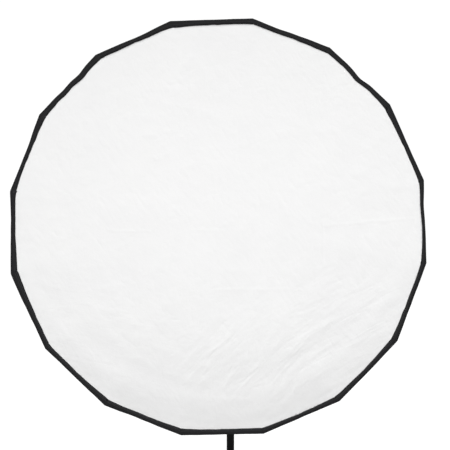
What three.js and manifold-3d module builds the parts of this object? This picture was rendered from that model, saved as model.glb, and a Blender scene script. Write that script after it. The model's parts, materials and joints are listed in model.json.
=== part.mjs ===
// Rib-supported folding light modifier: a sixteen-sided fabric dish on a speed ring,
// carried by a tilting bracket on the top section of a stand pole. Millimetres, +Z up.
// The dish faces -Y. The origin is the centre of the pole's lower end face.
import * as THREE from 'three';
import { mergeVertices } from 'three/addons/utils/BufferGeometryUtils.js';
import Module from 'manifold-3d';

const wasm = await Module();
wasm.setup();

// ---- driving dimensions ----
const SIDES = 16;
const ROLL = 1.5; // degrees the dish is turned on its bayonet, anticlockwise from the front
const AXIS_Z = 900; // height of the dish axis
const PIVOT_DROP = 125; // tilt pivot below the dish axis
const RING_Y = -30; // rear face of the speed ring

const R_RIM = 600; // to the corners of the rim
const RIM_W = 618; // front of the rim, forward of the ring's rear face
const BAND_FACE = 17; // width of the rim band seen from the front
const BAND_SKIRT = 26; // how far the band wraps back over the shell
const CLOTH = 1.2; // thickness of shell and diffuser cloth
const WEBBING = 1.8; // thickness of band and hem

const RIB_R = 2.5;
const RIB_TIP_R = 4;
const RIB_TIP = { r: 586.5, w: 607 };
const RIB_START = 70; // degrees from the dish axis at the holder
const RIB_END = 26; // degrees from the dish axis at the tip
const HINGE = { r: 93, w: 16 };
const HOLDER_L = 46;
const HOLDER_W = 10;
const HOLDER_BORE_R = 3;
const HOLDER_BORE_START = 12;
const PIN_R = 2.5;
const PIN_L = 17;

const RING = { bore: 73, outer: 104, thick: 24, recess: 80, recessDepth: 4, collar: 84, collarL: 19 };
const SLOT_W = 10.8;
const SLOT_R = 85.5;
const SLOT_FLOOR = 9.5;
const COVER = { inner: 76, outer: 100, thick: 2.5 };
const SCREW_R = 1.7;
const SCREW_AT = 94;
const LOCK_W = -9.5;
const LOCK_ANGLE = 45; // between two ribs, before ROLL

const INSERT_BORE = 44;
const NECK_R = 50.4;
const LUG_R = 57.5;
const LUG_SPAN = 40;
const BRACKET = { front: -21, rear: -39, outer: 76, bore: 59, lip: 4, lipBore: 51 };
const ARM_W = 22;
const LUG_BOSS_R = 14;

const POLE_R = 12;
const POLE_WALL = 1.5;
const STUD_R = 8;
const SOCKET_R = 16;
const SOCKET_BOTTOM = 90; // below the tilt pivot
const SOCKET_TOP = 48;
const BOLT_R = 4;
const EAR = { inner: 11.4, outer: 19, r: 15 };
const SCREW_DROP = 64;
const GAP = 0.3;

const RAD = Math.PI / 180;
const PIVOT_Z = AXIS_Z - PIVOT_DROP;

// ---- materials ----
const COLOURS = {
  fabric_black: [0x17171a, 0.9, 0],
  diffuser_white: [0xf2f2f2, 0.85, 0],
  fibreglass: [0x1b1b1b, 0.5, 0],
  plastic_black: [0x161617, 0.55, 0],
  nylon_black: [0x19191a, 0.5, 0],
  alloy_black: [0x1c1c1e, 0.4, 0.6],
  aluminium: [0xb4b6b9, 0.35, 0.9],
  steel: [0xb9bbbe, 0.3, 1],
};

const part = new THREE.Group();

function add(name, geometry, slot) {
  const [color, roughness, metalness] = COLOURS[slot];
  const mesh = new THREE.Mesh(geometry, new THREE.MeshStandardMaterial({ color, roughness, metalness }));
  mesh.name = name;
  mesh.material.name = slot;
  part.add(mesh);
}

// ---- solids ----
function bare(geometry) {
  const copy = geometry.index ? geometry.toNonIndexed() : geometry.clone();
  copy.deleteAttribute('normal');
  copy.deleteAttribute('uv');
  return mergeVertices(copy, 1e-4);
}

function signedVolume(geometry) {
  const p = geometry.attributes.position;
  const [a, b, c] = [new THREE.Vector3(), new THREE.Vector3(), new THREE.Vector3()];
  let sum = 0;
  for (let i = 0; i < geometry.index.count; i += 3) {
    a.fromBufferAttribute(p, geometry.index.getX(i));
    b.fromBufferAttribute(p, geometry.index.getX(i + 1));
    c.fromBufferAttribute(p, geometry.index.getX(i + 2));
    sum += a.dot(b.cross(c)) / 6;
  }
  return sum;
}

function outward(geometry) {
  const g = bare(geometry);
  if (signedVolume(g) < 0) {
    const index = g.index.array;
    for (let i = 0; i < index.length; i += 3) {
      [index[i + 1], index[i + 2]] = [index[i + 2], index[i + 1]];
    }
  }
  return g;
}

function solid(geometry) {
  const g = outward(geometry);
  const mesh = new wasm.Mesh({
    numProp: 3,
    vertProperties: new Float32Array(g.attributes.position.array),
    triVerts: new Uint32Array(g.index.array),
  });
  return new wasm.Manifold(mesh);
}

function geometryOf(manifold) {
  const mesh = manifold.getMesh();
  const g = new THREE.BufferGeometry();
  g.setAttribute('position', new THREE.BufferAttribute(new Float32Array(mesh.vertProperties), 3));
  g.setIndex(new THREE.BufferAttribute(new Uint32Array(mesh.triVerts), 1));
  g.computeVertexNormals();
  return g;
}

// A closed profile of [radius, height] pairs turned about +Z, its first corner at an angle in degrees.
function turned(profile, segments, angle = 0) {
  const points = profile.map(([r, h]) => new THREE.Vector2(r, h));
  const closed = profile[0][0] > 0 ? [...points, points[0].clone()] : points;
  const g = new THREE.LatheGeometry(closed, segments, (angle + 90) * RAD, Math.PI * 2);
  g.rotateX(Math.PI / 2);
  return outward(g);
}

function rod(radius, from, to, segments = 24) {
  return turned([[0, from], [radius, from], [radius, to], [0, to]], segments);
}

function box(x0, x1, y0, y1, z0, z1) {
  const g = new THREE.BoxGeometry(x1 - x0, y1 - y0, z1 - z0);
  return g.translate((x0 + x1) / 2, (y0 + y1) / 2, (z0 + z1) / 2);
}

// A flat outline of [x, y] pairs, thickened from z0 to z1.
function plate(outline, z0, z1, curveSegments = 12) {
  const shape = new THREE.Shape(outline.map(([x, y]) => new THREE.Vector2(x, y)));
  return new THREE.ExtrudeGeometry(shape, { depth: z1 - z0, bevelEnabled: false, curveSegments })
    .translate(0, 0, z0);
}

function arcPoints(cx, cy, r, from, to, steps) {
  return Array.from({ length: steps + 1 }, (_, i) => {
    const a = (from + ((to - from) * i) / steps) * RAD;
    return [cx + r * Math.cos(a), cy + r * Math.sin(a)];
  });
}

// ---- placing ----
// Dish frame: x right and y up seen from the front, z forward. The ring's rear face is z = 0.
function placeDish(geometry) {
  return geometry.rotateX(Math.PI / 2).translate(0, RING_Y, AXIS_Z);
}

function ribAngle(k) {
  return 90 + ROLL + ((k + 0.5) * 360) / SIDES;
}

// Meridian frame: x outward along the rib's direction, y forward, z across.
function toMeridian(geometry, angle) {
  const m = new THREE.Matrix4().makeBasis(
    new THREE.Vector3(Math.cos(angle * RAD), Math.sin(angle * RAD), 0),
    new THREE.Vector3(0, 0, 1),
    new THREE.Vector3(Math.sin(angle * RAD), -Math.cos(angle * RAD), 0),
  );
  return geometry.applyMatrix4(m);
}

// ---- rib line ----
function ribEnds() {
  const start = new THREE.Vector2(Math.sin(RIB_START * RAD), Math.cos(RIB_START * RAD));
  const end = new THREE.Vector2(Math.sin(RIB_END * RAD), Math.cos(RIB_END * RAD));
  const hinge = new THREE.Vector2(HINGE.r, HINGE.w);
  const leave = hinge.clone().addScaledVector(start, HOLDER_L);
  const tip = new THREE.Vector2(RIB_TIP.r, RIB_TIP.w);
  const gap = tip.clone().sub(leave);
  const reach = (gap.x * end.y - gap.y * end.x) / (start.x * end.y - start.y * end.x);
  return { hinge, start, end, leave, tip, knee: leave.clone().addScaledVector(start, reach) };
}

// The rib's centre line as [radius, forward] pairs, from a point inside the holder to the tip.
function ribLine(steps) {
  const { hinge, start, leave, tip, knee } = ribEnds();
  const curve = new THREE.QuadraticBezierCurve(leave, knee, tip);
  const straight = [HOLDER_BORE_START + 1.5, HOLDER_L * 0.6].map((s) => hinge.clone().addScaledVector(start, s));
  return [...straight, ...curve.getPoints(steps)];
}

// The line moved outward and back by a distance that goes from near to far along it.
function offsetLine(line, near, far) {
  return line.map((p, i) => {
    const a = line[Math.max(i - 1, 0)];
    const b = line[Math.min(i + 1, line.length - 1)];
    const t = b.clone().sub(a).normalize();
    const share = Math.min(1, Math.max(0, (i - 3) / 3));
    const d = near + (far - near) * share;
    return [p.x + t.y * d, p.y - t.x * d];
  });
}

// ---- ribs and holders ----
function ribSolid() {
  const points = ribLine(12).map((p) => new THREE.Vector3(p.x, p.y, 0));
  const shape = new THREE.Shape();
  shape.absarc(0, 0, RIB_R, 0, Math.PI * 2);
  const tube = new THREE.ExtrudeGeometry(shape, {
    steps: 18,
    curveSegments: 4,
    extrudePath: new THREE.CatmullRomCurve3(points),
  });
  const { end } = ribEnds();
  const cap = turned([[0, -10], [3.4, -10], [RIB_TIP_R, -7], [RIB_TIP_R, 1.5], [2.6, 4], [0, 4]], 8);
  cap.rotateY(Math.PI / 2).rotateZ(Math.atan2(end.y, end.x)).translate(RIB_TIP.r, RIB_TIP.w, 0);
  return solid(tube).add(solid(cap));
}

function holderSolid() {
  const half = HOLDER_W / 2;
  const outline = [...arcPoints(0, 0, half, 90, 270, 6), [HOLDER_L, -half], [HOLDER_L, half]];
  const body = solid(plate(outline, -half, half));
  const pin = solid(rod(PIN_R, -PIN_L / 2, PIN_L / 2, 10));
  const bore = solid(rod(HOLDER_BORE_R, HOLDER_BORE_START, HOLDER_L + 1, 12).rotateY(Math.PI / 2));
  const { start } = ribEnds();
  const g = geometryOf(body.add(pin).subtract(bore));
  return g.rotateZ(Math.atan2(start.y, start.x)).translate(HINGE.r, HINGE.w, 0);
}

function addRibs() {
  const rib = geometryOf(ribSolid());
  const holder = holderSolid();
  for (let k = 0; k < SIDES; k += 1) {
    const tag = String(k + 1).padStart(2, '0');
    add(`rib_${tag}`, placeDish(toMeridian(rib.clone(), ribAngle(k))), 'fibreglass');
    add(`rib_holder_${tag}`, placeDish(toMeridian(holder.clone(), ribAngle(k))), 'plastic_black');
  }
}

// ---- speed ring ----
function screwAngles() {
  return [1, 5, 9, 13].map((k) => ribAngle(k) + 180 / SIDES);
}

function atAngle(geometry, angle, radius) {
  return geometry.translate(radius, 0, 0).rotateZ(angle * RAD);
}

function addRingBody() {
  const { bore, outer, thick, recess, recessDepth, collar, collarL } = RING;
  const profile = [
    [bore, -collarL], [collar, -collarL], [collar, 0], [outer, 0], [outer, thick],
    [recess, thick], [recess, thick - recessDepth], [bore, thick - recessDepth],
  ];
  let body = solid(turned(profile, 64, ROLL));
  const slot = box(SLOT_R, outer + 4, -SLOT_W / 2, SLOT_W / 2, SLOT_FLOOR, thick + 1);
  const pinHalf = PIN_L / 2 + GAP;
  const groove = box(
    HINGE.r - PIN_R - GAP, HINGE.r + PIN_R + GAP, -pinHalf, pinHalf, HINGE.w - PIN_R - GAP, thick + 1,
  );
  const cut = solid(slot).add(solid(groove));
  for (let k = 0; k < SIDES; k += 1) {
    body = body.subtract(cut.rotate([0, 0, ribAngle(k)]));
  }
  for (const angle of screwAngles()) {
    body = body.subtract(solid(atAngle(rod(SCREW_R + GAP, thick - 9, thick + 1, 12), angle, SCREW_AT)));
  }
  const tapped = rod(3 + GAP, bore - 2, collar + 2, 16).rotateY(Math.PI / 2).translate(0, 0, LOCK_W);
  body = body.subtract(solid(tapped.rotateZ((LOCK_ANGLE + ROLL) * RAD)));
  add('ring_body', placeDish(geometryOf(body)), 'nylon_black');
}

function addRingCover() {
  const z0 = RING.thick + 0.1;
  const { inner, outer, thick } = COVER;
  let cover = solid(turned([[inner, z0], [outer, z0], [outer, z0 + thick], [inner, z0 + thick]], 64, ROLL));
  const notch = solid(box(SLOT_R, outer + 4, -SLOT_W / 2, SLOT_W / 2, z0 - 1, z0 + thick + 1));
  for (let k = 0; k < SIDES; k += 1) {
    cover = cover.subtract(notch.rotate([0, 0, ribAngle(k)]));
  }
  for (const angle of screwAngles()) {
    cover = cover.subtract(solid(atAngle(rod(SCREW_R + GAP, z0 - 1, z0 + thick + 1, 12), angle, SCREW_AT)));
  }
  add('ring_cover', placeDish(geometryOf(cover)), 'nylon_black');
  const top = z0 + thick + 0.1;
  screwAngles().forEach((angle, i) => {
    const head = [
      [0, RING.thick - 8], [SCREW_R, RING.thick - 8], [SCREW_R, top], [3.4, top], [3.1, top + 1.8], [1.6, top + 2.3],
      [1.2, top + 1.2], [0, top + 1.2],
    ];
    add(`cover_screw_${i + 1}`, placeDish(atAngle(turned(head, 12), angle, SCREW_AT)), 'steel');
  });
}

// A round knob with finger flutes round its rim.
function fluted(radius, depth, z0, z1, lobes) {
  const outline = Array.from({ length: lobes * 6 }, (_, i) => {
    const a = (i * 2 * Math.PI) / (lobes * 6);
    const r = radius - depth * (0.5 - 0.5 * Math.cos(lobes * a));
    return [r * Math.cos(a), r * Math.sin(a)];
  });
  return plate(outline, z0, z1);
}

function addRingLock() {
  const shank = solid(rod(3, RING.bore + 0.1, 89, 16));
  const neck = solid(rod(5, 85, 89, 16));
  const head = solid(fluted(8.2, 1.2, 88, 103, 8));
  const g = geometryOf(shank.add(neck).add(head));
  g.rotateY(Math.PI / 2).translate(0, 0, LOCK_W).rotateZ((LOCK_ANGLE + ROLL) * RAD);
  add('ring_lock_screw', placeDish(g), 'plastic_black');
}

// ---- bayonet insert and bracket ----
function addMountInsert() {
  const shoulder = BRACKET.front + 0.4;
  const lip = BRACKET.front - BRACKET.lip;
  let insert = solid(turned([
    [INSERT_BORE, lip - 6], [NECK_R, lip - 6], [NECK_R, shoulder], [RING.bore - 0.4, shoulder],
    [RING.bore - 0.4, 20.4], [RING.recess - 0.4, 20.4], [RING.recess - 0.4, 23.8], [68, 23.8],
    [66, 12], [INSERT_BORE, 4],
  ], 48));
  const half = LUG_SPAN / 2;
  const outline = [...arcPoints(0, 0, LUG_R, -half, half, 8), ...arcPoints(0, 0, NECK_R - 2, half, -half, 6)];
  for (let i = 0; i < 3; i += 1) {
    const lug = plate(outline, lip - 5, lip - 0.4).rotateZ((90 + i * 120) * RAD);
    insert = insert.add(solid(lug));
  }
  add('mount_insert', placeDish(geometryOf(insert)), 'aluminium');
}

function bracketRing() {
  const { front, rear, outer, bore, lip, lipBore } = BRACKET;
  let ring = solid(turned([
    [bore, rear], [outer - 2, rear], [outer, rear + 2], [outer, front - 1], [outer - 1, front],
    [lipBore, front], [lipBore, front - lip], [bore, front - lip],
  ], 48));
  const half = LUG_SPAN / 2 + 3;
  const outline = [...arcPoints(0, 0, bore - 0.2, -half, half, 8), ...arcPoints(0, 0, lipBore - 2, half, -half, 8)];
  for (let i = 0; i < 3; i += 1) {
    const gap = plate(outline, front - lip - 1, front + 1).rotateZ((30 + i * 120) * RAD);
    ring = ring.subtract(solid(gap));
  }
  return ring;
}

function addBracket() {
  const { front, rear, outer } = BRACKET;
  const half = ARM_W / 2;
  const top = -outer + 8;
  const waist = -PIVOT_DROP + 24;
  const arm = plate([
    [-half, -PIVOT_DROP], [half, -PIVOT_DROP], [half, waist], [34, top], [-34, top], [-half, waist],
  ], rear, front);
  const boss = rod(LUG_BOSS_R, -half, half, 32).rotateY(Math.PI / 2).translate(0, -PIVOT_DROP, RING_Y);
  const hole = rod(BOLT_R + GAP, -half - 1, half + 1, 24).rotateY(Math.PI / 2).translate(0, -PIVOT_DROP, RING_Y);
  const casting = bracketRing().add(solid(arm)).add(solid(boss)).subtract(solid(hole));
  const clear = solid(rod(BRACKET.bore, rear - 1, front - BRACKET.lip, 48));
  add('bracket_casting', placeDish(geometryOf(casting.subtract(clear))), 'alloy_black');
}

// ---- tilt base: origin at the tilt pivot, z up, y back ----
function placeBase(geometry) {
  return geometry.translate(0, 0, PIVOT_Z);
}

function ear(x0, x1) {
  const outline = [...arcPoints(0, 0, EAR.r, 0, 180, 12), [-EAR.r, -36], [EAR.r, -36]];
  return solid(plate(outline, x0, x1).rotateX(Math.PI / 2).rotateZ(Math.PI / 2));
}

function addTiltBase() {
  const { inner, outer, r } = EAR;
  const bridge = solid(box(-outer, outer, -r, r, -40, -22));
  const socket = solid(rod(SOCKET_R, -SOCKET_BOTTOM, -36, 40));
  const boss = solid(rod(8.5, 10, 22, 24).rotateX(-Math.PI / 2).translate(0, 0, -SCREW_DROP));
  const bore = solid(rod(STUD_R + 0.4, -SOCKET_BOTTOM - 1, -SOCKET_TOP, 32));
  const tapped = solid(rod(BOLT_R + GAP, 4, 24, 20).rotateX(-Math.PI / 2).translate(0, 0, -SCREW_DROP));
  const cross = solid(rod(BOLT_R + GAP, -outer - 1, outer + 1, 24).rotateY(Math.PI / 2));
  const casting = ear(inner, outer).add(ear(-outer, -inner)).add(bridge).add(socket).add(boss);
  add('tilt_base', placeBase(geometryOf(casting.subtract(bore).subtract(tapped).subtract(cross))), 'alloy_black');
}

function addTiltBolt() {
  const { outer } = EAR;
  const shank = solid(rod(BOLT_R, -outer - 1, 34, 24));
  const head = solid(rod(7.5, -outer - 6, -outer - 0.2, 6));
  add('tilt_bolt', placeBase(geometryOf(shank.add(head)).rotateY(Math.PI / 2)), 'steel');
  const nut = solid(rod(6.5, 30, 33, 6)).subtract(solid(rod(BOLT_R + GAP, 29, 34, 24)));
  add('tilt_nut', placeBase(geometryOf(nut).rotateY(Math.PI / 2)), 'steel');
}

// The lever turns on the bolt outside the right ear; its arm slopes down and back.
function addTiltLever() {
  const x0 = EAR.outer + 0.4;
  const hub = solid(rod(11, x0, x0 + 10, 32));
  const arm = solid(plate([[0, -5.5], [30, -4.5], [66, -5.5], [66, 5.5], [30, 4.5], [0, 5.5]], x0 + 2, x0 + 9));
  const end = solid(rod(5.5, x0 + 2, x0 + 9, 20).translate(66, 0, 0));
  const hole = solid(rod(BOLT_R + GAP, x0 - 1, x0 + 11, 24));
  const g = geometryOf(hub.add(arm).add(end).subtract(hole));
  g.rotateY(Math.PI / 2).rotateX(45 * RAD);
  add('tilt_lever', placeBase(g), 'plastic_black');
}

function addSocketScrew() {
  const shank = solid(rod(BOLT_R, STUD_R + 0.1, 30, 20));
  const collar = solid(rod(7.5, 23, 34, 24));
  const bar = solid(rod(5, -18, 18, 20).rotateY(Math.PI / 2).translate(0, 0, 33));
  const g = geometryOf(shank.add(collar).add(bar));
  g.rotateX(-Math.PI / 2).translate(0, 0, -SCREW_DROP);
  add('socket_screw', placeBase(g), 'plastic_black');
}

// ---- pole ----
function addPole() {
  const inner = POLE_R - POLE_WALL;
  const top = PIVOT_Z - SOCKET_BOTTOM - 7;
  add('pole_tube', turned([[inner, 4.2], [POLE_R, 4.2], [POLE_R, top], [inner, top]], 40), 'alloy_black');
  const foot = inner - GAP;
  add('pole_plug', turned([
    [0, 0], [POLE_R - 0.8, 0], [POLE_R, 0.8], [POLE_R, 4], [foot, 4], [foot, 24], [0, 24],
  ], 32), 'plastic_black');
  const seat = top + 0.2;
  const stud = [
    [0, top - 30], [foot, top - 30], [foot, seat], [POLE_R + 1, seat], [POLE_R + 1, seat + 5.4],
    [POLE_R, seat + 6.2], [STUD_R, seat + 6.2], [STUD_R, seat + 14], [STUD_R - 1.2, seat + 16],
    [STUD_R - 1.2, seat + 20], [STUD_R, seat + 22], [STUD_R, PIVOT_Z - SOCKET_TOP - 4],
    [STUD_R - 1.5, PIVOT_Z - SOCKET_TOP - 1.5], [0, PIVOT_Z - SOCKET_TOP - 1.5],
  ];
  add('stand_stud', turned(stud, 24), 'steel');
}

// ---- cloth ----
function shellProfile() {
  const line = ribLine(14);
  const { tip, end } = ribEnds();
  line.push(tip.clone().addScaledVector(end, (RIM_W - 2.8 - RIB_TIP.w) / end.y));
  const near = HOLDER_W / 2 + 2;
  const far = RIB_TIP_R + 0.9;
  const collar = RING.outer + 3;
  const inner = offsetLine(line, near, far).filter(([r]) => r > collar + 2);
  const outer = offsetLine(line, near + CLOTH, far + CLOTH).filter(([r]) => r > collar + CLOTH + 2);
  const slope = Math.tan((90 - RIB_START) * RAD);
  const turnIn = inner[0][1] - (inner[0][0] - collar) * slope;
  const turnOut = outer[0][1] - (outer[0][0] - collar - CLOTH) * slope;
  const up = [[collar, 0], [collar, turnIn], ...inner];
  const down = [[collar + CLOTH, 0], [collar + CLOTH, turnOut], ...outer].reverse();
  return { profile: [...up, ...down], edge: outer[outer.length - 1] };
}

function addCloth() {
  const corner = ribAngle(0);
  const { profile, edge } = shellProfile();
  add('outer_shell', placeDish(turned(profile, SIDES, corner)), 'fabric_black');

  const slope = Math.tan(RIB_END * RAD);
  const back = edge[1] - BAND_SKIRT;
  const skirt = (w) => edge[0] + 0.5 + (w - edge[1]) * slope;
  const face = RIM_W - WEBBING;
  add('rim_band', placeDish(turned([
    [skirt(back), back], [skirt(back) + WEBBING, back], [R_RIM, face], [R_RIM, RIM_W],
    [R_RIM - BAND_FACE, RIM_W], [R_RIM - BAND_FACE, face], [skirt(face), face],
  ], SIDES, corner)), 'fabric_black');

  const sheet = RIM_W - WEBBING - 0.4;
  add('front_diffuser', placeDish(turned([
    [0, sheet - CLOTH], [R_RIM - 8, sheet - CLOTH], [R_RIM - 8, sheet], [0, sheet],
  ], SIDES, corner)), 'diffuser_white');

  const hem = RING.outer + 3 + CLOTH + 0.4;
  add('hub_hem', placeDish(turned([
    [hem, 1], [hem + WEBBING, 1], [hem + WEBBING, 11.5], [hem, 11.5],
  ], SIDES, corner)), 'fabric_black');
}

addPole();
addTiltBase();
addTiltBolt();
addTiltLever();
addSocketScrew();
addBracket();
addMountInsert();
addRingBody();
addRingCover();
addRingLock();
addRibs();
addCloth();

export default part;
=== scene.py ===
"""Looks for a folding, rib-supported light modifier on a tilting bracket and pole. Metres, +Z up.

The dish faces -Y. Dish coordinates are (radius, angle, forward): angle is anticlockwise from +X seen
from the front, forward is the distance in front of the speed ring's rear face.
"""

import json
import math

import bpy
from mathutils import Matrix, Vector, noise
from mathutils.geometry import delaunay_2d_cdt

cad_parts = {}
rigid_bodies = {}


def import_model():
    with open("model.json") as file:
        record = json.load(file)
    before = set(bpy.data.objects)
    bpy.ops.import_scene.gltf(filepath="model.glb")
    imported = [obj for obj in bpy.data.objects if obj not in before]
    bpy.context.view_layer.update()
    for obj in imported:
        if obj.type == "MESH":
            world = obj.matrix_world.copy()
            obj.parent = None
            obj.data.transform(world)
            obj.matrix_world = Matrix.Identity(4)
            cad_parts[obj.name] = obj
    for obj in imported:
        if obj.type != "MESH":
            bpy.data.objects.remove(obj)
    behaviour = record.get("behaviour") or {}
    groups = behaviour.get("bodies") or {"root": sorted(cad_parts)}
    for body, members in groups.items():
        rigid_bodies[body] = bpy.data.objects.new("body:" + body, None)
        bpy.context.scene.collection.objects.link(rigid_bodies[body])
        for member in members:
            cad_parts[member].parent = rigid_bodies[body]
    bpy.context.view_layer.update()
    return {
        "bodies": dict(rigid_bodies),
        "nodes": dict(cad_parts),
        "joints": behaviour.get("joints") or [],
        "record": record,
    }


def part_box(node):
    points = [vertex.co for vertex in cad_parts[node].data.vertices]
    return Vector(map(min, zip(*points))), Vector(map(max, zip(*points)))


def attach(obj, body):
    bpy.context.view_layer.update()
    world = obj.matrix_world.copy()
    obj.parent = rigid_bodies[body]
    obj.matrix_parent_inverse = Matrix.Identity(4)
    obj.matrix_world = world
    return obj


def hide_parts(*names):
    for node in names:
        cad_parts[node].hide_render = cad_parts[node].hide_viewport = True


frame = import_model()

# ---- places read from the frame ----
JOINTS = {j["name"]: j for j in frame["joints"]}
HUB = Vector(JOINTS["ring_turn"]["pos_m"])
SIDES = 16
RIBS = [f"rib_{k + 1:02d}" for k in range(SIDES)]
STEP = 2 * math.pi / SIDES


def dish_coordinates(point):
    p = Vector(point) - HUB
    return math.hypot(p.x, p.z), math.atan2(p.z, p.x), -p.y


FIRST_RIB = dish_coordinates(JOINTS["rib_fold_01"]["pos_m"])[1]
FRONT = HUB.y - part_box("rim_band")[0].y
RIM = max(dish_coordinates(v.co)[0] for v in frame["nodes"]["rim_band"].data.vertices)
DIFFUSER_RADIUS = RIM - 0.0085  # to the corners of the diffuser's sewn edge

# ---- sizes of the cloth pieces, in metres ----
CLOTH = 0.0007
DIFFUSER_THICK = 0.0005
BAND_THICK = 0.0011
WEBBING_THICK = 0.0012
TAPE_THICK = 0.0006
PATCH_THICK = 0.0012
LIP_CORNER = 0.0195  # width of the black lip at a corner of the rim
LIP_SIDE = 0.0130  # and half way along a side
LIP_CLOTH = 0.017  # width of the lip's cloth as it is cut
LIP_LOOSEST = 125  # degrees: the part of the rim where the lip's edge waves the most
LIP_EDGE = 0.0012  # the lip turns over into the skirt this far in from the rim
LIP_UNEVEN = {  # for a gore's side: how much wider its lip is, and how much wider at its end than its start
    0: (-0.001, 0.0), 1: (0.001, -0.003), 2: (-0.0022, -0.0045), 3: (-0.001, 0.008), 4: (0.0032, -0.010),
    5: (0.001, 0.005), 6: (0.002, 0.0), 7: (0.0015, 0.0), 8: (-0.0015, 0.0), 10: (-0.001, -0.004),
    11: (-0.0052, 0.0), 12: (-0.001, 0.005), 13: (-0.001, 0.0), 14: (0.0, -0.004), 15: (0.0012, 0.005),
}
CORNERS_UNEVEN = {  # for a corner: how much wider its lip is
    4: 0.0035, 6: 0.004, 7: 0.002, 11: -0.003, 12: -0.0035, 14: -0.0025, 15: -0.004,
}
LIP_STEP = 0.0012  # the diffuser lies this far behind the lip
SKIRT = 0.026  # how far the rim band reaches back over the shell
SKIRT_START = 0.0016  # behind the rim's front
TAPE = 0.014  # width of a seam tape
TAPE_SPAN = (0.02, 0.97)  # where the tapes start and end, as shares of the way from hub to rim
PATCH_WIDTH = 0.034
PATCH_SPAN = (0.885, 0.955)
WEBBING_TURN = 0.0055  # how far the hub webbing turns in behind the ring
SADDLE = 0.007  # how far a gore pulls in between two ribs
SHELL_WAVE = 0.0016  # height of the shell's uneven places
SHELL_PUCKER = 0.0022  # and of the finer puckers near the rim
RIM_WAVE = 0.0012
PLEAT = 0.105  # how much of the ring's place a gore's middle keeps as the ribs fold, as a share
PLEAT_VARIES = 0.035
SHELL_ROWS = 72
GORE_COLUMNS = (  # places of the mesh's columns across a gore, closer near the ribs
    0, 0.02, 0.06, 0.11, 0.17, 0.23, 0.29, 0.36, 0.43, 0.5, 0.57, 0.64, 0.71, 0.77, 0.83, 0.89, 0.94, 0.98,
)
BAND_COLUMNS = (0.2, 0.26, 0.325, 0.395, 0.465, 0.535, 0.605, 0.675, 0.74, 0.8)  # the rim band's further ones
RIM_DENTS = (  # side, place along it, half width and depth of the dents in the cloth rim
    (0, 0.45, 0.2, 0.0022), (1, 0.32, 0.09, 0.0034), (1, 0.6, 0.1, 0.0022), (2, 0.5, 0.3, 0.002),
    (3, 0.4, 0.3, 0.001), (6, 0.4, 0.2, 0.001), (11, 0.7, 0.12, 0.002), (13, 0.47, 0.1, 0.004),
    (14, 0.7, 0.15, 0.002),
)
RIM_REACHES = (  # angle in degrees, half width and height of the stretches where the cloth rim reaches out
    (196, 13, 0.0046), (322, 26, 0.0038),
)

# ---- the diffuser's hang, folds and creases; places are right of and above the dish axis ----
DIFFUSER_GRID = 0.0102  # spacing of its mesh
TRIANGLE = 0.866  # height of a triangle with sides of 1
EDGE_STEPS = 20  # mesh edges along each of its sixteen sides
DIFFUSER_SLACK = 0.0004  # how much larger than its frame the cloth is cut, as a share
HANG_FRAMES = 30
SETTLE = 0.16  # the pressed, sewn cloth is stiffer than the simulated one, and sags by this share
MOST_SAG = 0.030
BELLY = 0.0455  # how far it swells forward low down
DRAWN_FOLDS = (  # direction in degrees, middle, size, folds per metre along and across, and depth
    (48, (0.09, -0.39), (0.30, 0.20), (5, 24), 0.0011),
    (32, (0.34, -0.28), (0.30, 0.24), (4, 21), 0.0008),
    (-12, (-0.33, -0.30), (0.32, 0.26), (4, 18), 0.0006),
)
CRUMPLE = 0.0015  # height of the fine crumpling
FOLDS = 0.0020  # and of the finer folds in the lower part
PRESSED = 0.00022  # and of the pressed storage creases
CREASE_REACH = 0.007  # a pressed crease fades out this far from its line
DIFFUSER_CREASES = (  # from one end to the other, and how deep it is
    ((0.302, 0.004), (0.56, 0.024), 1.0),
    ((0.302, -0.115), (0.300, 0.012), 0.8),
    ((0.305, 0.014), (0.42, 0.10), 0.7),
    ((-0.31, -0.008), (-0.19, -0.012), 1.0),
    ((-0.07, -0.008), (0.02, -0.010), 0.6),
    ((0.0, -0.178), (0.24, -0.176), 0.6),
    ((-0.006, 0.0), (-0.003, 0.16), 0.35),
    ((-0.33, 0.25), (-0.12, 0.27), 0.3),
)

# ---- light and camera ----
INSIDE_PAINTED_GLOW = 0.3  # painted glow of the diffuser's inner face, standing in for light that comes through the cloth
KEY_STRENGTH = 2.80
KEY_HEIGHT = 61  # degrees above the horizon
KEY_SOFTNESS = 24  # degrees that the key light spans
KEY_SIDE = 0.12  # how far it runs to the right for each metre of its way
AREA_LIGHTS = (  # name, place and target from the hub, diameter, and power in watts
    ("fill", (2.4, -3.0, 0.8), (0, -FRONT, 0), 2.0, 6),
    ("front", (0.43, -7.3, -0.5), (0, 0, -0.5), 0.5, 16),
    ("rim_light", (1.2, 2.6, 1.6), (0, 0, 0), 1.6, 20),
)
STUDIO_LIGHT = 0.386  # strength of the white studio on the object
STUDIO_SEEN = 1.05  # and as the camera sees it
FLOOR_TONE = 0.45
FLOOR_SEEN = 0.6  # glow of the floor as the camera sees it
FLOOR_REACH = 30
SENSOR = 36  # millimetres
CAMERA_DISTANCE = 6.5
CAMERA_YAW = 3.75  # degrees to the right of the dish axis
FRAME_WIDTH = 1.278  # what the camera sees at the rim's plane
FRAME_OFFSET = (0.0232, 0.0058)  # the middle of the view, right of and above the dish axis


def smooth(x, low=0.0, high=1.0):
    t = min(1.0, max(0.0, (x - low) / (high - low)))
    return t * t * (3 - 2 * t)


def mix(a, b, t):
    return a + (b - a) * t


def place(radius, angle, forward):
    return HUB + Vector((radius * math.cos(angle), -forward, radius * math.sin(angle)))


def rib_angle(k):
    return FIRST_RIB + k * STEP


def side_place(radius, gore, u, forward):
    """A point u of the way along the straight side between two corners at a radius."""
    a, b = place(radius, rib_angle(gore), forward), place(radius, rib_angle(gore + 1), forward)
    return a.lerp(b, u)


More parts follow.
